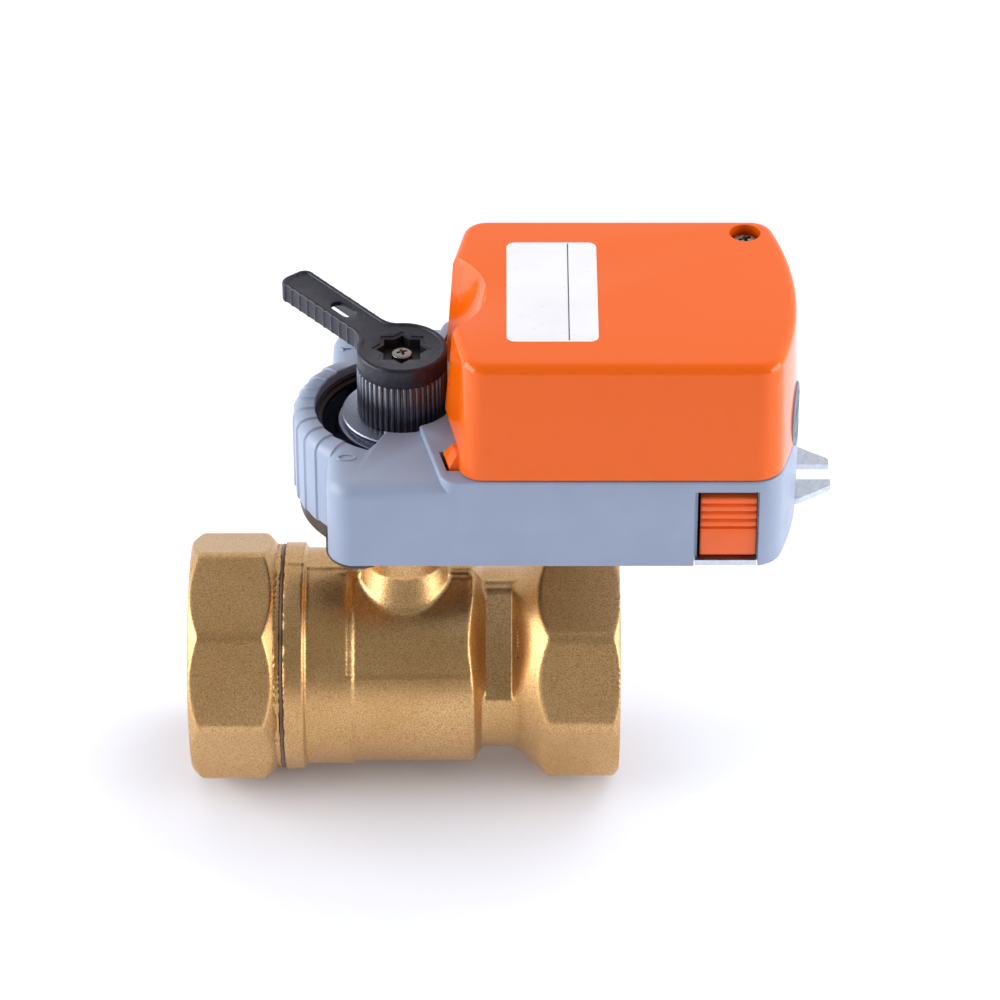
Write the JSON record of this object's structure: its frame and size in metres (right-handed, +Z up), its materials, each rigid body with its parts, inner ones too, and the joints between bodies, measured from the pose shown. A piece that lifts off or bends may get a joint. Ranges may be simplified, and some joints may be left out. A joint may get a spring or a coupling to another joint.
{
  "type": "motorized ball valve actuator",
  "caption": "Electric quarter-turn actuator with a manual handle and release button, mounted on a forged brass ball valve with screwed ports.",
  "frame": {"origin": "centre of the inlet port's face, on the pipe axis", "axes": "+X along the pipe from the inlet port to the outlet port, +Z up the valve's stem towards the actuator, +Y across, away from the release button's side"},
  "size_m": [0.1451, 0.066, 0.1289],
  "materials": {
    "brass": "forged, shot-blasted, satin",
    "sealant": "dark set sealant",
    "ptfe": "smooth white",
    "ball_chrome": "polished",
    "stem_steel": "turned",
    "seal_rubber": "matt black",
    "adapter_plastic": "moulded, dark brown-black",
    "screw_steel": "zinc plated",
    "plate_steel": "galvanised, fine spangle",
    "bush_plastic": "moulded natural",
    "housing_grey": "satin moulded blue-grey",
    "ring_black": "moulded black",
    "hub_metal": "cast, satin",
    "gear_steel": "sintered",
    "sleeve_grey": "fluted dark grey",
    "handle_black": "satin moulded black",
    "cover_orange": "glossy moulded orange",
    "label_white": "printed film, text left out",
    "grommet_grey": "moulded grey elastomer",
    "button_orange": "satin moulded orange",
    "spring_steel": "drawn wire",
    "gear_plastic": "moulded natural",
    "motor_steel": "drawn can, plated",
    "pinion_brass": "machined",
    "sensor_blue": "moulded blue",
    "board_green": "solder mask",
    "terminal_green": "moulded green",
    "capacitor_sleeve": "shrink sleeve",
    "relay_blue": "moulded blue",
    "chip_black": "moulded epoxy"
  },
  "bodies": {
    "valve": {"valve_body": "brass", "end_cap": "brass", "cap_seal": "sealant", "seat_inlet": "ptfe", "seat_outlet": "ptfe", "stem_rings": "seal_rubber", "thrust_washer": "ptfe", "adapter": "adapter_plastic", "adapter_screws": "screw_steel", "base_plate": "plate_steel", "base_screws": "screw_steel", "lower_bush": "bush_plastic", "housing": "housing_grey", "dial_ring": "ring_black", "cover": "cover_orange", "cover_screw": "screw_steel", "label": "label_white", "cable_grommet": "grommet_grey", "button_spring": "spring_steel", "gear_2_axle": "stem_steel", "gear_1_axle": "stem_steel", "motor": "motor_steel", "gear_plate": "plate_steel", "gear_pillars": "stem_steel", "feedback_sensor": "sensor_blue", "circuit_board": "board_green", "board_pillars": "pinion_brass", "board_screws": "screw_steel", "terminal_block": "terminal_green", "terminal_screws": "screw_steel", "capacitor": "capacitor_sleeve", "relay": "relay_blue", "driver_chip": "chip_black"},
    "output": {"ball": "ball_chrome", "stem": "stem_steel", "hub": "hub_metal", "hub_gear": "gear_steel", "fluted_sleeve": "sleeve_grey", "handle": "handle_black", "handle_screw": "screw_steel"},
    "gear_2": {"gear_2": "gear_plastic"},
    "gear_1": {"gear_1": "gear_plastic"},
    "motor_shaft": {"motor_pinion": "pinion_brass"},
    "sensor_shaft": {"sensor_gear": "gear_plastic"},
    "button": {"release_button": "button_orange"}
  },
  "joints": [
    {"name": "output_turn", "type": "hinge", "parent": "valve", "child": "output", "pos_m": [0.0491, 0, 0], "axis": [0, 0, 1], "range_deg": [-40, 50]},
    {"name": "gear_2_turn", "type": "hinge", "parent": "valve", "child": "gear_2", "pos_m": [0.07015, -0.00766, 0], "axis": [0, 0, 1], "range_deg": [-185, 148]},
    {"name": "gear_1_turn", "type": "hinge", "parent": "valve", "child": "gear_1", "pos_m": [0.08211, -0.00208, 0], "axis": [0, 0, 1], "range_deg": [-394, 491]},
    {"name": "motor_turn", "type": "hinge", "parent": "valve", "child": "motor_shaft", "pos_m": [0.09433, 0.00236, 0], "axis": [0, 0, 1], "range_deg": [-1634, 1308]},
    {"name": "sensor_turn", "type": "hinge", "parent": "valve", "child": "sensor_shaft", "pos_m": [0.06388, 0.01891, 0], "axis": [0, 0, 1], "range_deg": [-139, 111]},
    {"name": "button_press", "type": "slide", "parent": "valve", "child": "button", "axis": [0, 1, 0], "range_m": [0, 0.003], "stiffness_N_per_m": 300, "springref_m": -0.001, "deforming": ["button_spring"]}
  ],
  "couplings": [
    {"joint": "gear_2_turn", "follows": "output_turn", "ratio": -3.6667},
    {"joint": "gear_1_turn", "follows": "output_turn", "ratio": 9.7778},
    {"joint": "motor_turn", "follows": "output_turn", "ratio": -32.593},
    {"joint": "sensor_turn", "follows": "output_turn", "ratio": -2.75}
  ]
}
